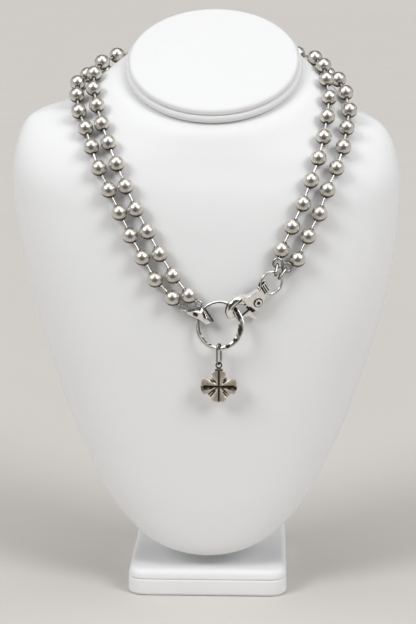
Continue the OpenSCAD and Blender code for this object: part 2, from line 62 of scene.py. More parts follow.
# %% Camera
PICTURE_HEIGHT = 624
PIXEL_MM = 0.5
CAMERA_DISTANCE = 900
CAMERA_TARGET = Vector((0.6, -48, 149))
CAMERA_AZIMUTH, CAMERA_HEIGHT = 2, 10.5
SENSOR_MM = 36
VIEW_END_M = 1000


def new_object(name, data):
    """An object for a mesh, lamp or camera, in the scene and at its origin."""
    thing = bpy.data.objects.new(name, data)
    bpy.context.scene.collection.objects.link(thing)
    return thing


def face_from(thing, azimuth, height):
    """Turns a camera or lamp to look from so many degrees right of the front and so many up."""
    a, h = math.radians(azimuth), math.radians(height)
    outward = Vector((math.sin(a) * math.cos(h), -math.cos(a) * math.cos(h), math.sin(h)))
    thing.rotation_euler = outward.to_track_quat("Z", "Y").to_euler()
    return outward


camera = new_object("camera", bpy.data.cameras.new("camera"))
outward = face_from(camera, CAMERA_AZIMUTH, CAMERA_HEIGHT)
camera.location = (CAMERA_TARGET + outward * CAMERA_DISTANCE) * MM
camera.data.sensor_fit = "VERTICAL"
camera.data.sensor_height = SENSOR_MM
camera.data.lens = SENSOR_MM * CAMERA_DISTANCE / PIXEL_MM / PICTURE_HEIGHT
camera.data.clip_end = VIEW_END_M
bpy.context.scene.camera = camera
bpy.context.scene.view_settings.view_transform = "Standard"
print("camera at", [round(v, 3) for v in camera.location], "lens", round(camera.data.lens, 1))

# %% [markdown]
# ## Sums that make nodes
#
# Both materials and Geometry Nodes are built from nodes. Clicking them together in code is long-winded, so
# one small class stands for a node's output: writing `1 - grain * 0.2` with it adds the Math nodes. The
# other class adds any node in one call: its type, its settings, and the values or links of its sockets.

# %% Node helpers
class Output:
    """A node's output socket that can be calculated with."""

    def __init__(self, nodes, socket):
        self.nodes = nodes
        self.socket = socket

    def maths(self, operation, a, b):
        return self.nodes.add("ShaderNodeMath", {"operation": operation}, {0: a, 1: b})

    def __add__(self, other):
        return self.maths("ADD", self, other)

    def __sub__(self, other):
        return self.maths("SUBTRACT", self, other)

    def __rsub__(self, other):
        return self.maths("SUBTRACT", other, self)

    def __mul__(self, other):
        return self.maths("MULTIPLY", self, other)

    __radd__ = __add__
    __rmul__ = __mul__


class Nodes:
    """A node tree that grows by one node for each call."""

    def __init__(self, tree):
        self.tree = tree

    def connect(self, socket, value):
        if isinstance(value, Output):
            self.tree.links.new(value.socket, socket)
        else:
            socket.default_value = value

    def add(self, kind, settings=None, inputs=None, out=0):
        node = self.tree.nodes.new(kind)
        for name, value in (settings or {}).items():
            setattr(node, name, value)
        for key, value in (inputs or {}).items():
            self.connect(node.inputs[key], value)
        return Output(self, node.outputs[out])

    def between(self, low, high, value):
        """0 where value is under low, 1 where it is over high, and smooth between them."""
        return self.add("ShaderNodeMapRange", {"interpolation_type": "SMOOTHSTEP"},
                        {"Value": value, "From Min": low, "From Max": high})

    def mix(self, mask, a, b):
        """Colour a where mask is 0 and colour b where it is 1."""
        return self.add("ShaderNodeMix", {"data_type": "RGBA"}, {0: mask, 6: a, 7: b}, out=2)


print("node helpers ready")

# %% [markdown]
# ## Finishes
#
# Every finish is procedural: it reads the piece's own Object coordinates, which are metres, so a noise scale
# of 1000 gives one lump for each millimetre. A finish starts from its fixed numbers, set on the shader's own
# sockets, and adds only what varies over the surface: colour, roughness and a bump.

# %% Finish helpers
def new_finish(name, constants):
    material = bpy.data.materials.new(name)
    material.use_nodes = True
    nodes = Nodes(material.node_tree)
    shader = material.node_tree.nodes["Principled BSDF"]
    for socket, value in constants.items():
        shader.inputs[socket].default_value = value
    return material, nodes, shader.inputs


def noise(nodes, place, scale, detail=2.0):
    return nodes.add("ShaderNodeTexNoise", {}, {"Vector": place, "Scale": scale, "Detail": detail})


def bump(nodes, height, depth_mm, strength):
    return nodes.add("ShaderNodeBump", {},
                     {"Height": height, "Distance": depth_mm * MM, "Strength": strength})


def object_place(nodes):
    return nodes.add("ShaderNodeTexCoord", out="Object")


print("finish helpers ready")

# %% [markdown]
# The bust is covered in a thin white leatherette. It is nearly matt, and what makes it look soft and real is
# very shallow: a fine pebbled grain, a slow waviness of the padding under it, and a slight change of white
# from place to place. A Voronoi texture gives the pebbles, and three noises give the rest. Each has so many
# lumps to the metre.

# %% White leatherette
TONE_LUMPS, PADDING_LUMPS, WEAR_LUMPS, PEBBLES = 14, 55, 160, 1500


def white_leatherette():
    material, nodes, shader = new_finish("white_leatherette", {
        "Roughness": 0.5, "Specular IOR Level": 0.35, "Sheen Weight": 0.08, "Sheen Roughness": 0.5})
    place = object_place(nodes)
    tone = noise(nodes, place, TONE_LUMPS, 3)
    wear = noise(nodes, place, WEAR_LUMPS, 4)
    pebble = nodes.add("ShaderNodeTexVoronoi", {"feature": "SMOOTH_F1"},
                       {"Vector": place, "Scale": PEBBLES, "Smoothness": 0.6})
    padding = noise(nodes, place, PADDING_LUMPS, 1)
    cool = (0.805, 0.812, 0.822, 1)
    bright = (0.86, 0.863, 0.868, 1)
    nodes.connect(shader["Base Color"], nodes.mix(tone * 0.7 + wear * 0.3, cool, bright))
    nodes.connect(shader["Roughness"], wear * 0.16 + 0.42)
    height = pebble * 0.05 + padding * 0.55
    nodes.connect(shader["Normal"], bump(nodes, height, 0.35, 0.5))
    return material


leatherette = white_leatherette()
print("finish:", leatherette.name)

# %% [markdown]
# Silver comes in five finishes. The balls are satin, the bars and wires are a little greyer, the clasp is
# polished, the hammered ring is brushed paler, and the charm is antiqued: blackened and rubbed bright again on
# its high places. They are one recipe with a row of numbers each: a bright and a dark colour, the roughness,
# the size of the clouds and the depth of the scratches in millimetres, and how far a film dims it. A piece can
# carry an attribute of tarnish and painted shade, which is 1 in its grooves and where shade is painted on it;
# where a piece has none, it reads as 0 and nothing darkens.

# %% Silver
SPECKS = 2600
SILVERS = {
    "satin_silver": ((0.76, 0.73, 0.675), (0.11, 0.095, 0.072), 0.37, 1.5, 0.02, 0.5),
    "wire_silver": ((0.80, 0.78, 0.73), (0.05, 0.044, 0.035), 0.3, 1.0, 0.01, 0.4),
    "polished_silver": ((0.90, 0.885, 0.84), (0.05, 0.044, 0.035), 0.2, 1.8, 0.03, 0.25),
    "hammered_silver": ((0.93, 0.91, 0.85), (0.06, 0.052, 0.04), 0.38, 1.8, 0.03, 0.2),
    "antique_silver": ((0.74, 0.67, 0.58), (0.035, 0.027, 0.015), 0.5, 1.0, 0.05, 0.6),
}


def silver(name, bright, dark, roughness, cloud_mm, scratch_mm, patina):
    material, nodes, shader = new_finish(name, {"Metallic": 1.0, "Roughness": roughness})
    place = object_place(nodes)
    cloud = noise(nodes, place, 1 / (cloud_mm * MM), 3)
    speck = noise(nodes, place, SPECKS)
    tarnish_and_shade = nodes.add("ShaderNodeAttribute", {"attribute_name": "tarnish_and_shade"}, out="Fac")
    film = nodes.between(0.45, 0.75, cloud) * patina
    # groove is the darkening from the attribute: patina in real hollows, and painted shade on sides,
    # undersides and gaps.
    groove = nodes.between(0.1, 0.8, tarnish_and_shade)
    tint = nodes.mix(film, (*bright, 1), (*[0.6 * b + 0.4 * d for b, d in zip(bright, dark)], 1))
    nodes.connect(shader["Base Color"], nodes.mix(groove, tint, (*dark, 1)))
    nodes.connect(shader["Roughness"], cloud * 0.1 + speck * 0.05 + (roughness - 0.075) + groove * 0.25)
    nodes.connect(shader["Normal"], bump(nodes, cloud * 0.7 + speck * 0.3, scratch_mm, 0.6))
    return material


satin_silver, wire_silver, polished_silver, hammered_silver, antique_silver = (
    silver(name, *numbers) for name, numbers in SILVERS.items())
print("finishes:", list(SILVERS))

# %% [markdown]
# ## Making and keeping pieces
#
# A piece is finished when its mesh is closed, faces outwards and sits in the frame with its object at the
# origin. One helper makes a mesh from points in millimetres, and another says which body the piece rides on,
# which CAD nodes it stands for and which material slot it takes its finish from. The sign of a closed mesh's
# volume tells whether it is inside out. One more helper writes tarnish and painted shade from each point's
# normal: the more it is turned away from a given front, the darker. That stands for old silver left dark where
# nothing rubs it, and for painted shade on the sides and undersides.

# %% Piece helpers
BUST = "bust_and_necklace"
kept_pieces = []


def mesh_mm(name, points, faces=(), edges=()):
    mesh = bpy.data.meshes.new(name)
    mesh.from_pydata((np.asarray(points, float) * MM).tolist(), edges, [tuple(face) for face in faces])
    return mesh


def vertex_places(mesh):
    places = np.empty(len(mesh.vertices) * 3)
    mesh.vertices.foreach_get("co", places)
    return places.reshape(-1, 3)


def face_outwards(mesh):
    shape = bmesh.new()
    shape.from_mesh(mesh)
    if shape.calc_volume(signed=True) < 0:
        bmesh.ops.reverse_faces(shape, faces=shape.faces)
    shape.to_mesh(mesh)
    shape.free()


FINISHES = {"white_cover": leatherette, "polished_silver": polished_silver, "antique_silver": antique_silver}


def keep(mesh, slot, replaced, body=BUST):
    """Puts a finished mesh in the scene as a piece. One that has no finish yet takes its slot's."""
    piece = new_object(mesh.name, mesh)
    if not mesh.materials:
        mesh.materials.append(FINISHES[slot])
    mesh.polygons.foreach_set("use_smooth", [True] * len(mesh.polygons))
    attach(piece, body)
    if replaced:
        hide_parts(*replaced)
    kept_pieces.append(piece)
    print("piece", piece.name, "faces", len(mesh.polygons), "on", body)
    return piece


def solid_from_rings(name, rings):
    """A closed mesh through rings of equally many points, its first and last ring closed by a point."""
    rings = np.asarray(rings, float)
    count, sides = rings.shape[:2]
    points = np.concatenate([rings.reshape(-1, 3), [rings[0].mean(0)], [rings[-1].mean(0)]])
    here = np.arange(count * sides).reshape(count, sides)
    following = np.roll(here, -1, 1)
    walls = np.stack([here[:-1], following[:-1], following[1:], here[1:]], -1).reshape(-1, 4)
    first_end = [(b, a, count * sides) for a, b in zip(here[0], following[0])]
    last_end = [(a, b, count * sides + 1) for a, b in zip(here[-1], following[-1])]
    mesh = mesh_mm(name, points, [*walls, *first_end, *last_end])
    face_outwards(mesh)
    return mesh


def vertex_normals(mesh):
    normals = np.empty(len(mesh.vertices) * 3)
    mesh.vertices.foreach_get("normal", normals)
    return normals.reshape(-1, 3)


# Writes the attribute that darkens silver: tarnish in real hollows, and painted shade where a caller puts it.
def add_tarnish_and_shade(mesh, amount):
    """Keeps the darker of what a mesh has and what is added: one number, or one for each point."""
    attribute = mesh.attributes.get("tarnish_and_shade") or mesh.attributes.new("tarnish_and_shade", "FLOAT", "POINT")
    tarnish_and_shade = np.empty(len(mesh.vertices), np.float32)
    attribute.data.foreach_get("value", tarnish_and_shade)
    attribute.data.foreach_set("value", np.maximum(tarnish_and_shade, np.clip(amount, 0, 1)).astype(np.float32))


def move_points(mesh, places_mm):
    mesh.vertices.foreach_set("co", (places_mm * MM).ravel())
    mesh.update()


def smooth_step(low, high, value):
    """0 at low, 1 at high and smooth between them, also where low is the bigger one."""
    f = np.clip((value - low) / (high - low), 0, 1)
    return f * f * (3 - 2 * f)


def bell(gap, half_width):
    """1 where gap is 0, and falling smoothly on both sides."""
    return np.exp(-((gap / half_width) ** 2))


def age_and_shade(mesh, strength, bright_facing=0.55, front=(0, -0.98, 0.2)):
    """Darkens what is turned away from the front: painted shade on sides and undersides, and tarnish where
    nothing rubs the silver bright.
    """
    add_tarnish_and_shade(mesh, strength * smooth_step(bright_facing, bright_facing - 0.45, vertex_normals(mesh) @ np.array(front)))
    return mesh


print("piece helpers ready")

# %% [markdown]
# ## The bust form
#
# The form is a padded board shaped like a neck and chest. It has no straight line, but it does have a rule:
# every level section is a superellipse, a rounded rectangle with one number for how square it is, whose
# front and back points stand lower or higher than its sides. Sixteen sections from the tip to the cut neck
# and a smooth curve between them give the whole surface. The same rule tells where the strands lie.

# %% Bust sections
HALF_W, SIDE_Z, SIDE_Y, FRONT_Z, FRONT_Y, BACK_Z, BACK_Y, SQUARE, CENTRE_X, LEFT_RISE = range(10)
SECTIONS = np.array([
    [4, 20.5, -41, 20.4, -43, 20.8, -38, 2, 0, 0],
    [15, 22.5, -40, 21.4, -45, 24, -30, 2, 0, 0],
    [26, 27, -37.5, 23.8, -47, 29.5, -18, 2.1, 0, 0],
    [36.5, 34.5, -34, 28.5, -48.5, 37, -4, 2.2, 0, 0],
    [48, 47.5, -29.5, 38, -50, 49, 6, 2.3, 0, 0],
    [58.5, 64.5, -25, 54, -51.5, 66, 12, 2.4, 0, 0],
    [70, 88.5, -20, 79, -52.5, 90, 17, 2.4, 0, 0],
    [80.5, 116, -15, 108, -53, 118, 21, 2.4, 0, 0],
    [89.5, 145, -12, 137, -52.5, 148, 24, 2.4, 0, 0],
    [96, 174, -9, 165, -50.5, 178, 27, 2.4, -0.5, 0],
    [99.5, 202, -7, 189, -47, 206, 29, 2.4, -1.5, 1],
    [99, 224, -5, 206, -43, 229, 31, 2.5, -2, 2],
    [92, 240, -3, 219, -38, 246, 33, 2.4, -2, 2.5],
    [76, 247, -1, 229, -34, 260, 34.5, 2.1, -1, 1],
    [58, 260, 2, 236.5, -30.5, 279, 35.5, 2, 0.5, 0],
    [45, 267, 5.5, 241, -25.5, 293, 36.5, 2, 1.8, 0],
])
LAST = len(SECTIONS) - 1


def smooth_row(rows, level):
    """Rows of a table at levels between its own rows, on a smooth curve through them."""
    rows = np.concatenate([[2 * rows[0] - rows[1]], rows, [2 * rows[-1] - rows[-2]]])
    level = np.clip(np.asarray(level, float), 0, len(rows) - 3)
    i = np.minimum(level.astype(int), len(rows) - 4)
    f = (level - i)[..., None]
    a, b, c, d = (rows[i + k] for k in range(4))
    return 0.5 * (2 * b + (c - a) * f + (2 * a - 5 * b + 4 * c - d) * f**2 + (3 * b - a - 3 * c + d) * f**3)


def bust_point(angle, level):
    """Points of the form: angle in degrees, 0 in front and 90 on the left, and a level in the table."""
    s = np.moveaxis(smooth_row(SECTIONS, level), -1, 0)
    turn = np.radians(angle)
    across = np.sign(np.sin(turn)) * np.abs(np.sin(turn)) ** (2 / s[SQUARE])
    along = np.abs(np.cos(turn)) ** (2 / s[SQUARE])
    in_front = np.cos(turn) > 0
    end_y = np.where(in_front, s[FRONT_Y], s[BACK_Y])
    end_z = np.where(in_front, s[FRONT_Z], s[BACK_Z])
    return np.stack([
        s[CENTRE_X] - s[HALF_W] * across,
        s[SIDE_Y] + (end_y - s[SIDE_Y]) * along,
        s[SIDE_Z] + (end_z - s[SIDE_Z]) * along + s[LEFT_RISE] * across,
    ], -1)


def over_bust(angle, level, height):
    """Points above the form, along its outward normal."""
    step_round, step_up = 0.5, 0.02
    round_it = bust_point(angle + step_round, level) - bust_point(angle - step_round, level)
    up_it = bust_point(angle, level + step_up) - bust_point(angle, level - step_up)
    outward = np.cross(up_it, round_it)
    return bust_point(angle, level) + outward / np.linalg.norm(outward, axis=-1, keepdims=True) * height


form_size = np.ptp(bust_point(np.arange(0, 360, 5)[None], np.arange(0, LAST, 0.5)[:, None]), (0, 1))
print("form is", form_size.round(1), "mm")

# %% [markdown]
# A grid of 168 points round and 150 levels is fine enough that no facet shows even along the outline. The
# covering is stretched over padding, so the surface sinks a little here and there, never by more than half
# a millimetre and never outwards, because the balls lie close above it.

# %% Bust form
FORM_SIDES = 168
FORM_LEVELS = 150
PADDING_DIP = 0.35


def padding_dips(points):
    """Slow waves, 0 to 1, from a few crossed sines."""
    x, y, z = np.moveaxis(points, -1, 0)
    waves = np.sin(x / 17 + z / 31) * np.sin(z / 23 - y / 19) + 0.5 * np.sin(x / 9 - z / 13 + y / 11)
    return 0.5 + waves / 3


form_angles, form_levels = np.arange(FORM_SIDES) * 360 / FORM_SIDES, np.linspace(0, LAST, FORM_LEVELS)
form_rings = bust_point(form_angles[None], form_levels[:, None])
inward = form_rings.mean(1, keepdims=True) - form_rings
inward /= np.linalg.norm(inward, axis=-1, keepdims=True)
form_rings += inward * (PADDING_DIP * padding_dips(form_rings))[..., None]
form_mesh = solid_from_rings("bust_form_cover", form_rings)
keep(form_mesh, "white_cover", ["bust_form"])

# %% [markdown]
# ## Foot, stem and neck pad
#
# The foot is a padded slab under the same covering. Its edges are rounded by the padding, and its covering
# is folded under along one line that runs round the slab. All of this is in a profile: a height and how far
# the outline is drawn in there. A loop carries a rounded rectangle up the profile. The stem that carries
# the form from the foot is the same shape, and the pad on the cut neck is an oval with its own profile.

# %% Foot and stem
SMALLEST_R = 0.05


def rounded_rectangle(width, depth, corner, inset, steps=12):
    """Points round a rectangle with round corners, all drawn in by inset."""
    radius = max(corner - inset, SMALLEST_R)
    pull = corner - min(0, corner - inset - SMALLEST_R)
    side_x, side_y = np.repeat([[1, 1], [-1, 1], [-1, -1], [1, -1]], steps, 0).T
    a = np.radians(np.concatenate([np.linspace(start, start + 90, steps) for start in (0, 90, 180, 270)]))
    return np.stack([side_x * (width / 2 - pull) + radius * np.cos(a),
                     side_y * (depth / 2 - pull) + radius * np.sin(a), 0 * a], 1)


def slab(name, width, depth, corner, profile, middle=(0, 0)):
    rings = [rounded_rectangle(width, depth, corner, inset) + [*middle, z] for z, inset in profile]
    return solid_from_rings(name, rings)


def rounded_edge(z, inset, radius, start, end, steps=7):
    """Part of a profile that follows a round edge: centre height z and inset, from one angle to another."""
    return [(z + radius * math.sin(math.radians(a)), inset - radius * math.cos(math.radians(a)))
            for a in np.linspace(start, end, steps)]


FOOT = {"width": 82, "depth": 96, "corner": 9}
foot_profile = (
    [(0, 4), (0, 2.2)]
    + rounded_edge(1.8, 1.8, 1.8, -80, 0)
    + [(7.6, 0), (8.3, 0.05), (8.6, 0.25), (8.75, 0.75), (8.9, 0.3), (9.2, 0.1), (9.8, 0.15)]
    + rounded_edge(10.6, 3.4, 3.1, 5, 88, 9)
    + [(13.8, 6), (13.95, 10), (14, 20), (14, 32)]
)
foot_mesh = slab("foot_cover", **FOOT, profile=foot_profile)
keep(foot_mesh, "white_cover", ["foot_block"])

STEM = {"width": 38, "depth": 20, "corner": 3, "middle": (0, 5)}
stem_profile = [(z, 0) for z in (14, 14.4, 30, 50, 70, 94)]
keep(slab("stem_cover", **STEM, profile=stem_profile), "white_cover", [])

# %% Neck pad
RIM_WIDTH, RIM_LENGTH = 91.8, 82.2
NECK_SLOPE = 40
neck_seat = (bust_point(0, LAST) + bust_point(180, LAST)) / 2


def oval(width, length, inset, z, sides=128):
    a = np.linspace(0, 2 * math.pi, sides, endpoint=False)
    return np.stack([(width / 2 - inset) * np.cos(a), (length / 2 - inset) * np.sin(a), np.full(sides, z)], 1)


def turn(degrees, axis):
    return np.array(Matrix.Rotation(math.radians(degrees), 3, axis))


rim_profile = [(0.2, 6)] + rounded_edge(2.3, 2.1, 2.1, -85, 85, 15) + [(4.4, 4), (4.4, 20)]
cap_profile = (
    [(4.0, 20), (4.0, 3.6)]
    + rounded_edge(5.6, 3.5, 1.6, -80, 0, 6)
    + rounded_edge(5.4, 4.1, 2.2, 5, 86, 9)
    + [(7.66, 6), (7.8, 14), (7.9, 26), (7.95, 36)]
)
for name, profile, replaced in (("neck_rim", rim_profile, []), ("neck_pad", cap_profile, ["neck_cap"])):
    level_rings = np.array([oval(RIM_WIDTH, RIM_LENGTH, inset, z) for z, inset in profile])
    rings = level_rings @ turn(NECK_SLOPE, "X").T + neck_seat
    keep(solid_from_rings(name, rings), "white_cover", replaced)

# %% [markdown]
# ## The strands
#
# The route of each strand is a short list of places on the form: an angle and a level. A smooth curve runs
# through them, a ball's radius above the covering, and the balls are spread along it at an even pitch. The
# fifth centre of each strand is compared with its CAD ball, which is a good habit: a wrong formula shows here
# and not in the render.

# %% Ball centres
BALL_D = 8
BALL_GAP = 0.35
ROUTE_STEPS = 8
CHEST_BALLS = 18
INNER_BALLS, OUTER_BALLS = 33, 34
INNER_ROUTE = np.array([
    [3, 8.75], [6.5, 9.1], [9.5, 9.5], [12.5, 10], [15, 10.55], [18, 11.2], [23.5, 11.95],
    [34.5, 12.7], [50, 13.4], [65, 13.75], [80, 13.9], [95, 13.95], [120, 13.95],
    [150, 13.9], [180, 13.85], [210, 13.9], [240, 14], [262, 14.1],
    [275, 14], [287.5, 13.75], [300, 13.45], [313.5, 12.85], [325, 12.15], [332, 11.4],
    [335.5, 10.75], [338.5, 10.1], [341.5, 9.6],
])
OUTER_ROUTE = np.array([
    [7, 8.7], [11.5, 9.05], [14.5, 9.45], [17.5, 9.9], [20, 10.45], [23, 11.05], [28.5, 11.7],
    [38, 12.4], [53.5, 13.05], [68.5, 13.35], [83, 13.5], [99, 13.5], [120, 13.45],
    [150, 13.35], [180, 13.3], [210, 13.35], [240, 13.5], [260, 13.6],
    [274, 13.4], [286.5, 13.15], [300, 12.8], [312.5, 12.25], [321.5, 11.65], [327, 11.05],
    [330, 10.4], [333, 9.9], [336.5, 9.4],
])


def strand_balls(route, count):
    place = smooth_row(route, np.arange((len(route) - 1) * ROUTE_STEPS + 1) / ROUTE_STEPS)
    curve = over_bust(place[:, 0], place[:, 1], BALL_D / 2 + BALL_GAP)
    lengths = np.concatenate([[0], np.cumsum(np.linalg.norm(np.diff(curve, axis=0), axis=1))])
    wanted = np.linspace(0, lengths[-1], count)
    return np.stack([np.interp(wanted, lengths, curve[:, k]) for k in range(3)], 1)


balls = {"inner": strand_balls(INNER_ROUTE, INNER_BALLS), "outer": strand_balls(OUTER_ROUTE, OUTER_BALLS)}
for strand, centres in balls.items():
    low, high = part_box(f"{strand}_ball_05")
    print(strand, "ball 5 is off by", round((Vector(centres[4]) - (low + high) / 2 / MM).length, 3), "mm")

# %% [markdown]
# ## Balls by Geometry Nodes
#
# Sixty-seven equal balls are a job for instances: the node tree takes points and puts one ball on each. In
# the real chain a bar enters each ball through a small hole with a turned-in edge, so a second tree puts a
# thin collar at both ends of each bar. Its points carry a direction, and the collar is turned to it. The
# trees have named sizes, so another necklace could use them. Realize Instances makes real mesh at the end.

# %% Trees with named sizes
def new_tree(name, sizes):
    """A geometry node tree with a geometry input and named float sizes, and its inputs by name."""
    tree = bpy.data.node_groups.new(name, "GeometryNodeTree")
    tree.interface.new_socket(name="Geometry", in_out="INPUT", socket_type="NodeSocketGeometry")
    for size in sizes:
        tree.interface.new_socket(name=size, in_out="INPUT", socket_type="NodeSocketFloat")
    tree.interface.new_socket(name="Geometry", in_out="OUTPUT", socket_type="NodeSocketGeometry")
    nodes = Nodes(tree)
    entry = tree.nodes.new("NodeGroupInput")
    return nodes, {socket.name: Output(nodes, socket) for socket in entry.outputs if socket.name}


def circle(nodes, sides, radius):
    return nodes.add("GeometryNodeCurvePrimitiveCircle", {}, {"Resolution": sides, "Radius": radius})


def sweep(nodes, path, section):
    """Carries a section along a path, and closes an open path at its ends."""
    return nodes.add("GeometryNodeCurveToMesh", {},
                     {"Curve": path, "Profile Curve": section, "Fill Caps": True})


def finish_tree(nodes, geometry, finish):
    real = nodes.add("GeometryNodeRealizeInstances", {}, {"Geometry": geometry})
    smooth = nodes.add("GeometryNodeSetShadeSmooth", {}, {0: real})
    coloured = nodes.add("GeometryNodeSetMaterial", {}, {"Geometry": smooth, "Material": finish})
    nodes.connect(nodes.tree.nodes.new("NodeGroupOutput").inputs["Geometry"], coloured)
    return nodes.tree


def grow(name, base, tree, sizes):
    """Runs a tree on a base mesh and gives back its result as a plain mesh."""
    piece = new_object(name, base)
    modifier = piece.modifiers.new("tree", "NODES")
    modifier.node_group = tree
    for item in tree.interface.items_tree:
        if item.in_out == "INPUT" and item.name in sizes:
            modifier[item.identifier] = float(sizes[item.name])
    piece.update_tag()
    graph = bpy.context.evaluated_depsgraph_get()
    mesh = bpy.data.meshes.new_from_object(piece.evaluated_get(graph))
    bpy.data.objects.remove(piece)
    mesh.name = name
    face_outwards(mesh)
    return mesh


print("tree helpers ready")

# %% Ball tree
def ball_tree(finish):
    nodes, size = new_tree("balls_on_points", ["Ball diameter"])
    ball = nodes.add("GeometryNodeMeshUVSphere", {},
                     {"Segments": 40, "Rings": 20, "Radius": size["Ball diameter"] * 0.5})
    placed = nodes.add("GeometryNodeInstanceOnPoints", {}, {"Points": size["Geometry"], "Instance": ball})
    return finish_tree(nodes, placed, finish)


def collar_tree(finish):
    nodes, size = new_tree("collars_on_points", ["Collar diameter", "Collar wire"])
    wire = circle(nodes, 8, size["Collar wire"] * 0.5)
    collar = sweep(nodes, circle(nodes, 20, size["Collar diameter"] * 0.5), wire)
    toward = nodes.add("GeometryNodeInputNamedAttribute", {"data_type": "FLOAT_VECTOR"}, {"Name": "toward"})
    turn = nodes.add("FunctionNodeAlignRotationToVector", {"axis": "Z"}, {"Vector": toward})
    placed = nodes.add("GeometryNodeInstanceOnPoints", {},
                       {"Points": size["Geometry"], "Instance": collar, "Rotation": turn})
    return finish_tree(nodes, placed, finish)


balls_on_points = ball_tree(satin_silver)
collars_on_points = collar_tree(wire_silver)
print("trees:", balls_on_points.name, collars_on_points.name)

# %% Balls
for strand, centres in balls.items():
    mesh = grow(f"{strand}_strand_balls", mesh_mm(strand, centres), balls_on_points,
                {"Ball diameter": BALL_D * MM})
    # Painted shade: the lower sides of the balls, turned away from up and front, are darkened.
    age_and_shade(mesh, 0.75, bright_facing=0.15, front=(0, -0.6, 0.8))
    chest = [f"{strand}_ball_{k:02d}" for k in range(1, CHEST_BALLS + 1)]
    keep(mesh, "satin_silver", chest + [f"{strand}_nape_run"])

# %% [markdown]
# ## Bars and wires
#
# Everything thin is wire along a path: the bars, the eyes on the strand ends, the links, the jump ring and the
# bail. One tree turns a path into a curve and sweeps a round section along it. The paths are worked out here
# from the same places and turns as in the CAD model. The eyes and links at the clasp's end carry the most
# painted shade on their sides, so they are the darkest.

# %% Wire tree
def wire_tree(finish):
    nodes, size = new_tree("wire_on_path", ["Wire diameter"])
    path = nodes.add("GeometryNodeMeshToCurve", {}, {"Mesh": size["Geometry"]})
    return finish_tree(nodes, sweep(nodes, path, circle(nodes, 16, size["Wire diameter"] * 0.5)), finish)


wire_on_path = wire_tree(wire_silver)


def bent_wire(name, points, diameter, closed=True, tree=wire_on_path):
    count = len(points)
    edges = [(i, (i + 1) % count) for i in range(count if closed else count - 1)]
    return grow(name, mesh_mm("path", points, edges=edges), tree, {"Wire diameter": diameter * MM})


print("tree:", wire_on_path.name)

# %% Places of the hardware
RING_AT = np.array([6.7, -57.9, 144])
RIVET_AT = np.array([24.7, -55.6, 156.4])
CLASP_SPIN, CLASP_ROLL, CLASP_PITCH = 215.5, 28, -10
JUMP_AT = np.array([32.3, -54.8, 165.2])
JUMP_D = 11.3
JUMP_ROLL, JUMP_PITCH = 20, -15
EYES = {
    "left_inner_eye": (np.array([-3.8, -55.2, 154.2]), 1.5, balls["inner"][0]),
    "left_outer_eye": (np.array([-11.7, -55.2, 152.2]), 1.5, balls["outer"][0]),
    "right_inner_eye": (np.array([35.2, -52.9, 174.8]), 2.2, balls["inner"][-1]),
    "right_outer_eye": (np.array([39.7, -51.9, 172.4]), 2.2, balls["outer"][-1]),
}


def face_on(spin=0, roll=0, pitch=0):
    """Stands a shape upright as seen from the front, then spins, rolls and pitches it in that view."""
    return turn(90, "X") @ turn(spin, "Z") @ turn(pitch, "Y") @ turn(-roll, "X")


def circle_path(radius, steps=64):
    a = np.linspace(0, 2 * math.pi, steps, endpoint=False)
    return np.stack([radius * np.cos(a), radius * np.sin(a), 0 * a], 1)


def link_path(radius, reach, steps=24):
    """A long link with round ends, long along Y."""
    a = np.linspace(0, math.pi, steps)
    end = np.stack([radius * np.cos(a), radius * np.sin(a) + reach / 2, 0 * a], 1)
    return np.concatenate([end, end * [-1, -1, 1]])


def eye_top(at, toward, radius):
    flat = np.array([toward[0] - at[0], 0, toward[2] - at[2]])
    return at + flat / np.linalg.norm(flat) * radius


jump_turn = face_on(CLASP_SPIN, JUMP_ROLL, JUMP_PITCH)


def jump_point(direction):
    a = math.radians(direction - CLASP_SPIN)
    return JUMP_AT + jump_turn @ (np.array([math.cos(a), math.sin(a), 0]) * JUMP_D / 2)


eye_tops = {name: eye_top(at, ball, radius) for name, (at, radius, ball) in EYES.items()}
print("eye tops", {name: top.round(1).tolist() for name, top in eye_tops.items()})

# %% Bars and collars
BAR_D = 1.2
COLLAR_D, COLLAR_WIRE = 2.0, 0.5
for strand, centres in balls.items():
    line = np.concatenate([[eye_tops[f"left_{strand}_eye"]], centres, [eye_tops[f"right_{strand}_eye"]]])
    bars = bent_wire(f"{strand}_strand_bars", line, BAR_D, closed=False)
    # Painted shade: the bars' sides turned away from the front are darkened.
    keep(age_and_shade(bars, 0.9), "wire_silver", [f"{strand}_bars"])
    ways = np.diff(line, axis=0)
    ways /= np.linalg.norm(ways, axis=1, keepdims=True)
    reach = math.sqrt((BALL_D / 2) ** 2 - (COLLAR_D / 2) ** 2)
    spots = np.concatenate([line[1:-1] + ways[1:] * reach, line[1:-1] - ways[:-1] * reach])
    base = mesh_mm(strand, spots)
    toward = base.attributes.new("toward", "FLOAT_VECTOR", "POINT")
    toward.data.foreach_set("vector", np.concatenate([ways[1:], ways[:-1]]).ravel())
    collars = grow(f"{strand}_strand_collars", base, collars_on_points,
                   {"Collar diameter": COLLAR_D * MM, "Collar wire": COLLAR_WIRE * MM})
    # The collars are dark all over: painted shade of the holes where the bars go into the balls, together with
    # tarnish.
    add_tarnish_and_shade(collars, 0.95)
    keep(collars, "wire_silver", [])

# %% Eyes, links and jump ring
EYE_WIRE, LINK_WIRE, JUMP_WIRE = 1.1, 1.25, 1.3
LINK_R = 1.5
LINKS = {"right_inner_link": (70, "right_inner_eye"), "right_outer_link": (35, "right_outer_eye")}


def link_turn(way):
    """Turns a link's length to a direction, with its flat side to the side, so it is seen edge-on."""
    along = way / np.linalg.norm(way)
    depth = np.array([0, 1, 0]) - along * along[1]
    depth /= np.linalg.norm(depth)
    return np.stack([depth, along, np.cross(depth, along)], 1)


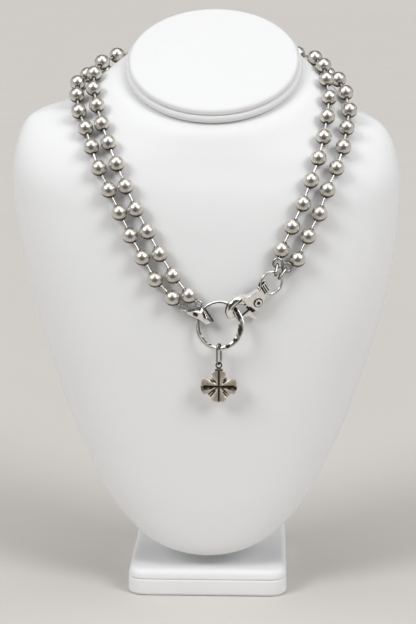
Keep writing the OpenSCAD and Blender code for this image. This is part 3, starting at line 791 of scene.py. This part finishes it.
wires = {name: (circle_path(radius) @ face_on().T + at, EYE_WIRE) for name, (at, radius, _) in EYES.items()}
wires["jump_ring"] = (circle_path(JUMP_D / 2, 96) @ jump_turn.T + JUMP_AT, JUMP_WIRE)
for name, (direction, eye) in LINKS.items():
    start = jump_point(direction)
    at, radius, _ = EYES[eye]
    end = eye_top(at, start, radius)
    path = link_path(LINK_R, np.linalg.norm(end - start)) @ link_turn(end - start).T
    wires[name] = (path + (start + end) / 2, LINK_WIRE)
for name, (path, wire) in wires.items():
    # Painted shade: each wire's sides turned away from the front are darkened, and most on the eyes and links
    # at the clasp's end.
    bright_facing = 0.95 if name.startswith("right") else 0.62
    keep(age_and_shade(bent_wire(f"{name}_wire", path, wire), 0.9, bright_facing), "wire_silver", [name])

# %% [markdown]
# ## The hammered ring
#
# The front ring is a band, widest at its right and thin at its top, with the shallow facets of a planishing
# hammer. A circle carries an oval section round, and the surface is pushed in by a Voronoi texture, whose
# cells are the hammer's blows. Then a table of widths, one for every 30 degrees from the ring's right, draws
# its hole in or out. Dark patches of old patina are left, most on its right side. A second table gives each
# as an oval: its angle, its half length in degrees, where it lies across the band, from -1 at its hole to 1
# outside, and half its width there.

# %% Hammered ring
RING_D, RING_BAND, RING_THICK = 25, 2.2, 1.5
RING_AXIS, RING_TILT = 44, 18
BLOWS, DENT, EVEN_BLOW = 380, 0.16, 1.1
RING_WIDTHS = np.array([3.1, 2.6, 1.9, 1.3, 1.4, 1.6, 2.3, 2.5, 2.4, 2.4, 2.7, 3.0])
PATCHES = np.array([
    [-10, 18, -0.1, 0.65], [-40, 6, -0.2, 0.6], [-65, 6, -0.1, 0.6], [26, 11, -0.2, 0.7], [46, 8, 0, 0.7],
    [100, 34, -0.6, 0.3], [192, 22, -0.75, 0.2], [195, 28, 0.35, 0.12], [225, 12, -0.7, 0.2],
    [244, 6, -0.6, 0.25], [-90, 7, -0.7, 0.4],
])


def ring_tree(finish):
    nodes, size = new_tree("hammered_ring", ["Band radius", "Band width", "Band thickness", "Blow", "Dent"])
    scale = nodes.add("ShaderNodeCombineXYZ", {},
                      {"X": size["Band width"], "Y": size["Band thickness"], "Z": 1.0})
    section = nodes.add("GeometryNodeTransform", {}, {"Geometry": circle(nodes, 40, 0.5), "Scale": scale})
    band = sweep(nodes, circle(nodes, 300, size["Band radius"]), section)
    place = nodes.add("GeometryNodeInputPosition")
    blows = nodes.add("ShaderNodeTexVoronoi", {"feature": "SMOOTH_F1"},
                      {"Vector": place, "Scale": size["Blow"], "Smoothness": 0.35, "Randomness": 1.0})
    lumps = noise(nodes, place, size["Blow"] * 0.45, 1)
    outward = nodes.add("GeometryNodeInputNormal")
    push = nodes.add("ShaderNodeVectorMath", {"operation": "SCALE"},
                     {0: outward, "Scale": (blows + lumps - EVEN_BLOW) * size["Dent"]})
    dented = nodes.add("GeometryNodeSetPosition", {}, {"Geometry": band, "Offset": push})
    return finish_tree(nodes, dented, finish)


tilt_axis = Vector((math.cos(math.radians(RING_AXIS)), math.sin(math.radians(RING_AXIS)), 0))
ring_turn = face_on() @ turn(-RING_TILT, tilt_axis)
band_middle = (RING_D - RING_BAND) / 2
ring_mesh = grow("hammered_ring", mesh_mm("ring", [(0, 0, 0)]), ring_tree(hammered_silver), {
    "Band radius": band_middle * MM, "Band width": RING_BAND * MM, "Band thickness": RING_THICK * MM,
    "Blow": BLOWS, "Dent": DENT * MM})
print("even ring", (np.ptp(vertex_places(ring_mesh), 0) / MM).round(2))

flat = vertex_places(ring_mesh) / MM
angle, far = np.degrees(np.arctan2(flat[:, 1], flat[:, 0])), np.hypot(flat[:, 0], flat[:, 1])
across = (far - band_middle) / (RING_BAND / 2)
widths = np.interp(angle % 360, np.arange(13) * 30, np.append(RING_WIDTHS, RING_WIDTHS[0]))
flat[:, :2] *= ((RING_D / 2 - widths / 2 * (1 - across)) / far)[:, None]
for middle, half, place, wide in PATCHES:
    away = np.abs((angle - middle + 180) % 360 - 180)
    ragged = 0.22 * np.sin(angle / 2.3 + across * 4) + 0.16 * np.sin(angle / 0.9 - across * 7)
    patch = smooth_step(1.55, 0.6, np.hypot(away / half, (across - place) / wide) + ragged)
    add_tarnish_and_shade(ring_mesh, patch * smooth_step(0, 0.3, flat[:, 2]))
move_points(ring_mesh, flat @ ring_turn.T + RING_AT)
# Painted shade: the band's sides turned away from the front are darkened a little.
keep(age_and_shade(ring_mesh, 0.35, 0.3), "polished_silver", ["large_ring"])

# %% [markdown]
# ## Cast pieces
#
# The clasp, its lever and the leaf are cast and then polished, and a casting has no sharp edge and no quite
# flat face. The CAD solids have the right shape but crisp corners, so a copy of each is merged and rebuilt
# from small voxels. Two steps then shape it as a maker would: lines are cut into its face, and the whole is
# softened by moving each point towards the middle of its neighbours. Where softening lifts a point, there was
# a hollow, and there the silver stays dark, because no polishing cloth reaches it.

# %% Casting helpers
WORK_SCALE = 100
MERGE_MM = 0.002


def voxel_copy(node, name, voxel_mm):
    """A CAD solid rebuilt from voxels; it is made bigger meanwhile, because the tool stops at small ones."""
    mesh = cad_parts[node].data.copy()
    shape = bmesh.new()
    shape.from_mesh(mesh)
    bmesh.ops.remove_doubles(shape, verts=shape.verts, dist=MERGE_MM * MM)
    bmesh.ops.scale(shape, vec=(WORK_SCALE,) * 3, verts=shape.verts)
    shape.to_mesh(mesh)
    shape.free()
    piece = new_object(name, mesh)
    remesh = piece.modifiers.new("voxels", "REMESH")
    remesh.mode = "VOXEL"
    remesh.voxel_size = voxel_mm * MM * WORK_SCALE
    graph = bpy.context.evaluated_depsgraph_get()
    result = bpy.data.meshes.new_from_object(piece.evaluated_get(graph))
    bpy.data.objects.remove(piece)
    result.transform(Matrix.Scale(1 / WORK_SCALE, 4))
    result.name = name
    result.materials.clear()
    face_outwards(result)
    return result


def evened(mesh, values, rounds):
    """Values at the points of a mesh, each moved halfway to the mean of its neighbours, again and again."""
    ends = np.empty(len(mesh.edges) * 2, int)
    mesh.edges.foreach_get("vertices", ends)
    a, b = np.concatenate([ends.reshape(-1, 2), ends.reshape(-1, 2)[:, ::-1]]).T
    count = len(values)
    share = np.bincount(a, minlength=count)
    for _ in range(rounds):
        mean = np.stack([np.bincount(a, column[b], count) for column in values.T], 1) / share[:, None]
        values = (values + mean) / 2
    return values


print("casting helpers ready")

# %% Cutting and softening
def in_place(mesh, place, turning):
    """Points and normals of a mesh in a piece's own directions: along, across and towards the viewer."""
    return (vertex_places(mesh) / MM - place) @ turning, vertex_normals(mesh) @ turning


def put_back(mesh, local, place, turning):
    move_points(mesh, local @ turning.T + place)


def line_gaps(local, x0, y0, x1, y1):
    way = np.array([x1 - x0, y1 - y0])
    f = np.clip((local[:, :2] - [x0, y0]) @ way / (way @ way), 0, 1)
    return np.linalg.norm(local[:, :2] - [x0, y0] - f[:, None] * way, axis=1)


def cut(mesh, place, turning, lines, rings=()):
    """Cuts the front. A line is x, y, x, y, half width, depth; a ring is x, y, radius, half width, depth."""
    local, normals = in_place(mesh, place, turning)
    depths = np.zeros(len(local))
    for *ends, half_width, depth in lines:
        depths = np.maximum(depths, depth * bell(line_gaps(local, *ends), half_width))
    for x, y, radius, half_width, depth in rings:
        gap = np.linalg.norm(local[:, :2] - [x, y], axis=1) - radius
        depths = np.maximum(depths, depth * bell(gap, half_width))
    depths *= np.clip(normals[:, 2] * 2 - 0.4, 0, 1)
    local[:, 2] -= depths
    put_back(mesh, local, place, turning)
    add_tarnish_and_shade(mesh, depths / 0.25)


def soften(mesh, rounds, hollow_mm):
    """Melts corners, and marks the hollows that were lifted by hollow_mm or more as dark."""
    before = vertex_places(mesh) / MM
    after = evened(mesh, before, rounds)
    lifted = ((after - before) * vertex_normals(mesh)).sum(1)
    move_points(mesh, after)
    add_tarnish_and_shade(mesh, evened(mesh, np.clip(lifted / hollow_mm, 0, 1)[:, None], 3)[:, 0])


print("shaping helpers ready")

# %% [markdown]
# The clasp's body is one casting: a broad shield that carries the rivet, a hook that bends round to the
# ring, and a strap that goes round the jump ring, with lines across it. A slit runs along the hook's back.
# The lines are written in the clasp's own directions: along towards the hook, and across towards the lever.
# The edge that faces the hook is bevelled and painted black as the shade of the gap under it, and the insides
# of the hook and some of its walls are painted dark as shade.

# %% Clasp
clasp_turn = face_on(CLASP_SPIN, CLASP_ROLL, CLASP_PITCH)
RIVET_HEAD_R = 1.9
HOOK_MIDDLE, HOOK_INSIDE, HOOK_ROOT = (9.7, -2.2), 3.1, 6.3
clasp = voxel_copy("clasp_body", "clasp_casting", voxel_mm=0.13)
local, _ = in_place(clasp, RIVET_AT, clasp_turn)
along, across, toward = local.T
by_lever = smooth_step(2.5, 5, along) * smooth_step(6.6, 5.8, along) * smooth_step(-2.9, -1.6, across)
by_back_edge = smooth_step(0.5, -2.7, toward) * smooth_step(-2.5, -5, across) * smooth_step(6, 2, along)
along += 1.5 * by_lever
across += 1.4 * by_back_edge * smooth_step(-5.9, -5.5, along)
put_back(clasp, local, RIVET_AT, clasp_turn)
# The last two lines are broad bevels whose depth paints them black: painted shade of the gap where the lever
# passes under the body.
cut(clasp, RIVET_AT, clasp_turn, [
    (12.6, -5.7, 6.6, -6.7, 0.2, 0.7),
    (-6.6, -6.3, -6.6, -1.7, 0.25, 0.6),
    (-7.8, -6.3, -7.8, -1.7, 0.25, 0.6),
    (-5.5, -6.3, -5.5, -1.7, 0.35, 0.7),
    (6.6, -2.0, 5.5, 2.7, 0.9, 1.2),
    (6.1, 0.4, 5.4, 2.8, 1.4, 1.3),
], [(0, 0, RIVET_HEAD_R + 0.25, 0.3, 0.35)])
local, normals = in_place(clasp, RIVET_AT, clasp_turn)
from_hook = np.linalg.norm(local[:, :2] - HOOK_MIDDLE, axis=1)
# Painted shade: the insides of the hook, the walls that face across towards the lever and the walls at the
# hook's far end are darkened.
add_tarnish_and_shade(clasp, smooth_step(HOOK_INSIDE + 0.5, HOOK_INSIDE, from_hook) * (local[:, 0] > HOOK_ROOT))
add_tarnish_and_shade(clasp, 0.85 * smooth_step(0.5, 0.1, normals[:, 2]) * smooth_step(-0.3, 0.1, normals[:, 1]))
add_tarnish_and_shade(clasp, 0.8 * smooth_step(11, 13, local[:, 0]) * smooth_step(0.55, 0.2, normals[:, 2]))
soften(clasp, rounds=10, hollow_mm=0.05)
keep(clasp, "polished_silver", ["clasp_body"])

rivet = voxel_copy("clasp_rivet", "clasp_rivet_head", voxel_mm=0.09)
local, _ = in_place(rivet, RIVET_AT, clasp_turn)
# Painted shade: a small oval in the middle of the rivet head is darkened as the shade of its hole.
add_tarnish_and_shade(rivet, np.hypot(local[:, 0], local[:, 1] / 1.2) < 0.9)
soften(rivet, rounds=4, hollow_mm=0.04)
keep(rivet, "polished_silver", ["clasp_rivet"])

lever = voxel_copy("clasp_lever", "clasp_lever_casting", voxel_mm=0.11)
add_tarnish_and_shade(lever, 0.15)
soften(lever, rounds=6, hollow_mm=0.04)
# Painted shade: the lever's edges, turned away from the clasp's face, are darkened.
keep(age_and_shade(lever, 1, 0.9, clasp_turn[:, 2]), "polished_silver", ["clasp_lever"], "lever")

# %% [markdown]
# The leaf takes both left strands to the ring. It is a small three-pointed casting. Its front is two facets, a
# broad one that rises from the lower edges and a steep one that falls to the upper edges, and both are worked
# out from the distance to those edges. It has a drop-shaped hollow and a long one, and its right side slants
# back and is painted black as shade.

# %% Leaf
LEAF_LOWER = [(-16.2, 5.5), (-12.3, 3.8), (-9.8, 2.5), (-6.8, 0.2), (-3.8, 1.2)]
LEAF_UPPER = [(-16.2, 6.6), (-12.2, 7.5), (-10.2, 7.5), (-8.8, 9), (-3.8, 1.2)]
LEAF_RIGHT = (-7.4, 6.8, -3.8, 1.2)
LOWER_RISE, UPPER_RISE, LEAST_RISE = 0.34, 0.95, 0.15


def edge_gaps(local, corners):
    """Distance from the nearest side of a chain of corners."""
    return np.min([line_gaps(local, *a, *b) for a, b in zip(corners, corners[1:])], 0)


leaf = voxel_copy("leaf_bail", "leaf_casting", voxel_mm=0.1)
local, normals = in_place(leaf, RING_AT, face_on())
by_right_edge = smooth_step(1.3, 0.2, line_gaps(local, *LEAF_RIGHT))
on_face = np.clip((normals[:, 2] - 0.8) / 0.15, 0, 1)
facets = np.minimum(LOWER_RISE * edge_gaps(local, LEAF_LOWER), UPPER_RISE * edge_gaps(local, LEAF_UPPER))
local[:, 2] += on_face * (facets + LEAST_RISE)
local[:, :2] += (smooth_step(-0.6, -2.2, local[:, 2]) * by_right_edge)[:, None] * [0.7, 0.45]
put_back(leaf, local, RING_AT, face_on())
# Painted shade: the set-back right side is darkened.
add_tarnish_and_shade(leaf, smooth_step(-1.0, -1.6, local[:, 2]) * by_right_edge)
cut(leaf, RING_AT, face_on(), [(-12.5, 5.9, -11.4, 5.3, 0.55, 0.8), (-8.1, 6.2, -7.1, 3.8, 0.3, 0.8)])
soften(leaf, rounds=10, hollow_mm=0.06)
# Painted shade also darkens what is turned away from the front.
keep(age_and_shade(leaf, 1, 0.45), "polished_silver", ["leaf_bail"])

# %% [markdown]
# ## Bail and charm
#
# A long wire bail, dark with age and with painted shade on its sides, carries the charm. The charm is a small
# cross with flared arms, cast from an engraved pattern. Its outline and its relief follow a rule, so it is
# made from one: round its middle, each direction has its own radius, and each place has its own height. Every
# arm is a low roof between two raised ribs, with a groove along it, and short wedge-shaped cuts stand between
# the arms. The patina lies in the cuts, painted shade lies over the lower half of the side arms, and the ribs
# are rubbed bright.

# %% Bail
BAIL_R, BAIL_REACH, BAIL_WIRE, BAIL_TURN = 2.15, 5.8, 0.9, 25
low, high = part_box("bail")
bail_middle = np.array((low + high) / 2) / MM
bail_path = link_path(BAIL_R, BAIL_REACH) @ (turn(90 - BAIL_TURN, "Z") @ turn(90, "X")).T + bail_middle
bail = bent_wire("bail_wire", bail_path, BAIL_WIRE)
add_tarnish_and_shade(bail, 0.45)
# Painted shade: the bail's sides turned away from the front are darkened.
keep(age_and_shade(bail, 1, 0.9), "wire_silver", ["bail"], "bail")

# %% Charm relief
CHARM_HALF_WIDTH, CHARM_HALF_HEIGHT, CHARM_DISC_R, CHARM_HALF_THICK = 9, 8.1, 5.2, 1.0
ARM_HALF_ANGLE = 32
CHARM_SIDES = 360
CHARM_DROP = 11.1
RIB_PLACE, RIB_WIDTH, CUT_HALF_WIDTH = 0.82, 0.16, 0.38
CUTS = [(37, 2.6, 5.0), (48, 3.6, 5.6), (133, 2.4, 4.4), (145, 3.4, 5.2),
        (219, 2.4, 6.9), (232, 3.0, 7.0), (318, 2.6, 5.6), (306, 3.6, 6.4)]


def from_arm(x, y):
    """The direction, its angle to the nearest arm's middle line, and whether that is a side arm."""
    degrees = np.degrees(np.arctan2(y, x))
    return degrees, np.abs((degrees + 45) % 90 - 45), np.abs(np.abs(degrees) - 90) > 45


def charm_radius(x, y):
    _, off, side = from_arm(x, y)
    reach = np.where(side, CHARM_HALF_WIDTH, CHARM_HALF_HEIGHT)
    rounded = reach * (1 - 0.07 * (off / ARM_HALF_ANGLE) ** 4)
    notch = CHARM_DISC_R + np.where(y < 0, 1.7, 0.3)
    return notch + (rounded - notch) * (1 - smooth_step(ARM_HALF_ANGLE - 5, ARM_HALF_ANGLE + 4, off))


def charm_relief(x, y):
    """Height above the middle plane, and darkness: patina in the grooves and cuts, and painted shade on the
    lower half of the side arms.
    """
    degrees, off, side = from_arm(x, y)
    edge, r = off / ARM_HALF_ANGLE, np.hypot(x, y)
    off_groove = np.where(side, y + 0.2, x)
    groove_half = np.where(side, 0.5 + 0.06 * r, 0.58)
    groove = bell(off_groove, groove_half) * smooth_step(8.4, 7.2, r)
    wedge = np.zeros_like(r)
    for direction, start, end in CUTS:
        away = np.abs((degrees - direction + 180) % 360 - 180)
        part = bell(away * r / 60, CUT_HALF_WIDTH) * smooth_step(start - 0.6, start + 0.3, r)
        wedge = np.maximum(wedge, part * smooth_step(end + 0.5, end - 0.6, r))
    rib = bell(edge - RIB_PLACE, RIB_WIDTH) * smooth_step(1.2, 3, r)
    roof = 0.3 * edge * smooth_step(0, 4, r)
    height = CHARM_HALF_THICK - 0.2 - roof - 0.3 * groove - 0.4 * wedge + 0.3 * rib
    # Painted shade: the lower half of each side arm, below its groove, is darkened; elsewhere a flat tone is
    # added.
    arm_shade_and_tone = np.where(side & (y < 0), 0.5 * smooth_step(3.4, 0.8, -y) + 0.2, 0.15)
    shade_and_clouds = arm_shade_and_tone + 0.15 * np.sin(x * 2.1) * np.sin(y * 1.7)
    dark = np.maximum.reduce([groove, wedge, shade_and_clouds]) - 0.45 * rib
    return np.clip(height, 0.2, CHARM_HALF_THICK), np.clip(dark, 0, 1)


charm_x, charm_y, _ = circle_path(1, CHARM_SIDES).T
charm_reach = charm_radius(charm_x, charm_y)
charm_rings, charm_dark = [], []
for side in (1, -1):
    fractions = np.concatenate([np.linspace(0.01, 0.97, 56), [0.985, 0.995, 1.0]])
    for f in fractions if side > 0 else fractions[::-1]:
        x, y = charm_reach * f * charm_x, charm_reach * f * charm_y
        height, dark = charm_relief(x, y)
        edge_fall = smooth_step(1.04, 0.93, f)
        charm_rings.append(np.stack([x, y, side * (height * (0.55 + 0.45 * edge_fall))], 1))
        charm_dark.append(dark)

charm_centre = bail_middle - [0, 0, BAIL_REACH / 2 + BAIL_R + CHARM_DROP]
charm = solid_from_rings("charm_cross", [ring @ face_on().T + charm_centre for ring in charm_rings])
add_tarnish_and_shade(charm, np.concatenate([np.ravel(charm_dark), [1, 1]]))
keep(charm, "antique_silver", ["charm"], "cross_charm")

# %% Charm loop
LOOP_R, LOOP_WIRE, LOOP_DROP = 1.35, 0.72, 0.5
NECK_WIDTH, NECK_DEPTH = 3.9, 1.4
NECK_PROFILE = [(-0.5, 0.3), (-0.4, 0.05), (0.2, 0), (0.4, 0.1), (0.55, 0.5), (1.0, 1.1), (1.3, 1.3)]
loop_at = bail_middle - [0, 0, BAIL_REACH / 2 + BAIL_R + LOOP_DROP]
loop_path = circle_path(LOOP_R) @ face_on().T + loop_at
loop = bent_wire("charm_loop", loop_path, LOOP_WIRE, tree=wire_tree(antique_silver))
neck_at = charm_centre + [0, 0, CHARM_HALF_HEIGHT]
neck = solid_from_rings("charm_neck", [
    rounded_rectangle(NECK_WIDTH - 2 * inset, NECK_DEPTH - inset, 0.3, 0) + neck_at + [0, 0, z]
    for z, inset in NECK_PROFILE])
for mesh in (loop, neck):
    add_tarnish_and_shade(mesh, 0.6)
    # Painted shade: the sides turned away from the front are darkened.
    keep(age_and_shade(mesh, 1, 0.95), "antique_silver", [], "cross_charm")

# %% [markdown]
# ## Floor and light
#
# The floor is one large pale plane, so that the background is the same from every side. Light comes from two
# lamps, one above each shoulder of the camera, and from a broad one overhead. Two weak ones at the sides
# light the edges. Metal shows what is round it. The pale floor gives each ball its light lower half, and a
# black card that only reflections see stands for the dark room in front, and gives it its dark middle.

# %% Floor
def mottled(name, constants, socket, scale, detail, low, high):
    """A finish whose one colour wanders a little between two."""
    material, nodes, shader = new_finish(name, constants)
    cloud = noise(nodes, object_place(nodes), scale, detail)
    nodes.connect(shader[socket], nodes.mix(cloud, (*low, 1), (*high, 1)))
    return material


def set_stage(mesh, finish, unseen_by=()):
    """Puts a thing round the object. The rays in unseen_by pass it by."""
    mesh.materials.append(finish)
    thing = new_object(mesh.name, mesh)
    for ray in unseen_by:
        setattr(thing, "visible_" + ray, False)


FLOOR_HALF = 200000
corners = [(FLOOR_HALF * x, FLOOR_HALF * y, 0) for x, y in ((-1, -1), (1, -1), (1, 1), (-1, 1))]
set_stage(mesh_mm("floor", corners, [range(4)]),
          mottled("pale_floor", {"Roughness": 0.95, "Specular IOR Level": 0.1}, "Base Color", 5, 3,
                  (0.62, 0.595, 0.569), (0.655, 0.63, 0.605)))

# %% Lamps and room
def soft_lamp(name, azimuth, height, strength, spread):
    """A far lamp that shines from there, and seems so many degrees wide."""
    lamp = new_object(name, bpy.data.lights.new(name, "SUN"))
    face_from(lamp, azimuth, height)
    lamp.data.energy = strength
    lamp.data.angle = math.radians(spread)


soft_lamp("lamp_left", -50, 38, 1.3, 26)
soft_lamp("lamp_right", 50, 38, 1.3, 26)
soft_lamp("lamp_top", 0, 84, 1.1, 56)
soft_lamp("side_left", -105, 15, 0.4, 60)
soft_lamp("side_right", 105, 15, 0.4, 60)

ROOM_GLOW = 0.08
room = bpy.data.worlds.new("room")
bpy.context.scene.world = room
room.use_nodes = True
room.node_tree.nodes["Background"].inputs["Color"].default_value = (ROOM_GLOW,) * 3 + (1,)
print("lamps and room ready")

# %% Black card
CARD_HALF_WIDTH, CARD_SIDES = 460, 48
CARD_LOW, CARD_HIGH = np.array([0, -280, 5]), np.array([0, -900, 600])
card_turn = np.linspace(0, 2 * math.pi, CARD_SIDES, endpoint=False)[:, None]
card_points = (CARD_LOW + (CARD_HIGH - CARD_LOW) * (1 + np.sin(card_turn)) / 2
               + np.array([CARD_HALF_WIDTH, 0, 0]) * np.cos(card_turn))
set_stage(mesh_mm("black_card", card_points, [range(CARD_SIDES)]),
          mottled("black_card", {"Roughness": 0.9}, "Base Color", 30, 2, (0.03,) * 3, (0.05,) * 3),
          ("camera", "diffuse", "transmission", "volume_scatter", "shadow"))
print("black card ready")

# %% [markdown]
# From low down one can see past the end of the floor. A round wall stands there in the same pale tone. It
# glows faintly instead of taking light, and only the camera sees it, so it changes nothing on the silver.

# %% Backdrop
WALL_RADIUS, WALL_HEIGHT, WALL_SIDES = 16000, 12000, 96
wall_foot = circle_path(WALL_RADIUS, WALL_SIDES)
wall_faces = []
for k in range(WALL_SIDES):
    following = (k + 1) % WALL_SIDES
    wall_faces.append((following, k, k + WALL_SIDES, following + WALL_SIDES))
set_stage(mesh_mm("backdrop", np.concatenate([wall_foot, wall_foot + [0, 0, WALL_HEIGHT]]), wall_faces),
          mottled("backdrop", {"Base Color": (0, 0, 0, 1), "Specular IOR Level": 0, "Emission Strength": 1},
                  "Emission Color", 0.2, 2, (0.62, 0.595, 0.57), (0.64, 0.615, 0.59)),
          ("diffuse", "glossy", "transmission", "volume_scatter", "shadow"))
print("backdrop ready")

# %% [markdown]
# ## The count at the end
#
# The finished pieces are counted, with their faces. The finished pieces must stay inside the CAD
# model's box.

# %% Count of pieces
print("pieces:", len(kept_pieces), "faces:", sum(len(p.data.polygons) for p in kept_pieces))
